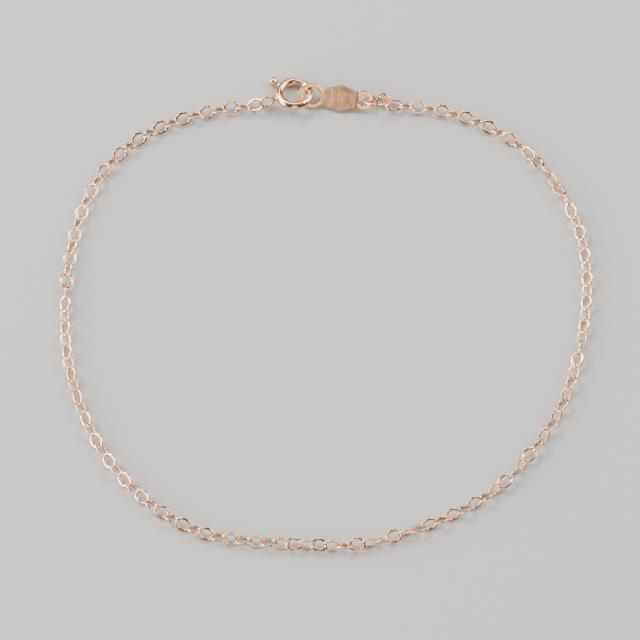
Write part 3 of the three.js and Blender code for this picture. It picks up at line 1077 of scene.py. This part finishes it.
class BRACELET_OT_jump_ring(bpy.types.Operator):
    """Make the jump ring"""

    bl_idname = "bracelet.jump_ring"
    bl_label = "Jump Ring"

    def execute(self, context):
        half = settings().tag.jump_wire / 2
        gold = finish_named("polished_gold", polished_gold)
        mesh = ring("round_ring", jump_radius(), half, half, jump_place(), steps=60)
        smooth(mesh)
        place_piece("round_ring", mesh, gold, "polished_rose_gold", "bracelet", "jump_ring")
        return {"FINISHED"}


# Stage

FLOOR_SIZE = 4.0

LIGHT_DISTANCE = 0.9

# The softboxes' colours.
DAYLIGHT = (1.0, 0.99, 0.97)
WARM_LIGHT = (1.0, 0.98, 0.96)
KEY_LIGHT = (1.0, 0.98, 0.95)

# Softboxes round the table: the way to each, how large it is across and how bright its face is.
SOFTBOXES = [
    {"name": "key", "towards": (-0.55, 0.45, 0.75), "size": 0.34, "glow": 13.0, "colour": KEY_LIGHT},
    {"name": "left", "towards": (-0.93, -0.25, 0.3), "size": 0.55, "glow": 8.0, "colour": WARM_LIGHT},
    {"name": "far_left", "towards": (-0.9, 0.35, 0.24), "size": 0.5, "glow": 6.0, "colour": WARM_LIGHT},
    {"name": "right", "towards": (0.92, 0.25, 0.25), "size": 0.55, "glow": 2.6, "colour": DAYLIGHT},
    {"name": "back", "towards": (0.6, 0.36, 0.72), "size": 0.5, "glow": 6.0, "colour": DAYLIGHT},
    {"name": "rear", "towards": (-0.05, 0.71, 0.66), "size": 0.24, "glow": 6.0, "colour": DAYLIGHT},
    {"name": "front", "towards": (0, -0.62, 0.8), "size": 0.22, "glow": 3.6, "colour": WARM_LIGHT},
    {"name": "low_front", "towards": (0, -0.93, 0.37), "size": 0.5, "glow": 0.8, "colour": WARM_LIGHT},
]


def look_at(thing, target):
    thing.rotation_euler = (target - thing.location).to_track_quat("-Z", "Y").to_euler()


def lay_floor():
    half = FLOOR_SIZE / 2
    mesh = bpy.data.meshes.new("floor")
    corners = [(-half, -half, 0), (half, -half, 0), (half, half, 0), (-half, half, 0)]
    mesh.from_pydata(corners, [], [(0, 1, 2, 3)])
    mesh.materials.append(finish_named("pale_floor", pale_floor))
    new_object("floor", mesh)


def set_softbox(box):
    lamp = bpy.data.lights.new(box["name"], "AREA")
    lamp.shape = "SQUARE"
    lamp.size = box["size"]
    lamp.energy = box["glow"] * math.pi * box["size"] ** 2 * settings().stage.light
    lamp.color = box["colour"]
    thing = new_object(box["name"], lamp)
    thing.location = Vector(box["towards"]).normalized() * LIGHT_DISTANCE
    look_at(thing, Vector((0, 0, 0)))


def set_sky(scene):
    world = bpy.data.worlds.new("sky")
    world.use_nodes = True
    world.node_tree.nodes["Background"].inputs["Color"].default_value = (*settings().stage.sky, 1)
    scene.world = world


def set_camera(scene):
    lens = bpy.data.cameras.new("camera")
    lens.lens = CAMERA_LENS
    lens.sensor_width = CAMERA_SENSOR
    camera = new_object("camera", lens)
    back = Vector((0, -math.cos(CAMERA_ELEVATION), math.sin(CAMERA_ELEVATION)))
    camera.location = CAMERA_TARGET + back * CAMERA_DISTANCE
    look_at(camera, CAMERA_TARGET)
    scene.camera = camera


class BRACELET_OT_stage(bpy.types.Operator):
    """Make the floor, the light and the camera"""

    bl_idname = "bracelet.stage"
    bl_label = "Stage"

    def execute(self, context):
        lay_floor()
        for box in SOFTBOXES:
            set_softbox(box)
        set_sky(context.scene)
        set_camera(context.scene)
        return {"FINISHED"}


class BRACELET_PT_panel(bpy.types.Panel):
    """The bracelet's pieces, sizes and colours"""

    bl_label = "Cable Chain Bracelet"
    bl_idname = "BRACELET_PT_panel"
    bl_space_type = "VIEW_3D"
    bl_region_type = "UI"
    bl_category = "Bracelet"

    def draw(self, context):
        for operator in OPERATORS:
            self.layout.operator(operator.bl_idname)
        for part in Bracelet.__annotations__:
            group = getattr(settings(), part)
            box = self.layout.box()
            for name in group.__annotations__:
                box.prop(group, name)


OPERATORS = (BRACELET_OT_chain, BRACELET_OT_clasp, BRACELET_OT_tag, BRACELET_OT_jump_ring, BRACELET_OT_stage)
CLASSES = (ChainSizes, ClaspSizes, TagSizes, GoldFinish, StageLooks, Bracelet, *OPERATORS, BRACELET_PT_panel)


def register():
    for item in CLASSES:
        bpy.utils.register_class(item)
    bpy.types.Scene.bracelet = PointerProperty(type=Bracelet)


def unregister():
    del bpy.types.Scene.bracelet
    for item in reversed(CLASSES):
        bpy.utils.unregister_class(item)


def main():
    register()
    bpy.ops.bracelet.chain()
    bpy.ops.bracelet.clasp()
    bpy.ops.bracelet.tag()
    bpy.ops.bracelet.jump_ring()
    bpy.ops.bracelet.stage()


if __name__ == "__main__":
    main()
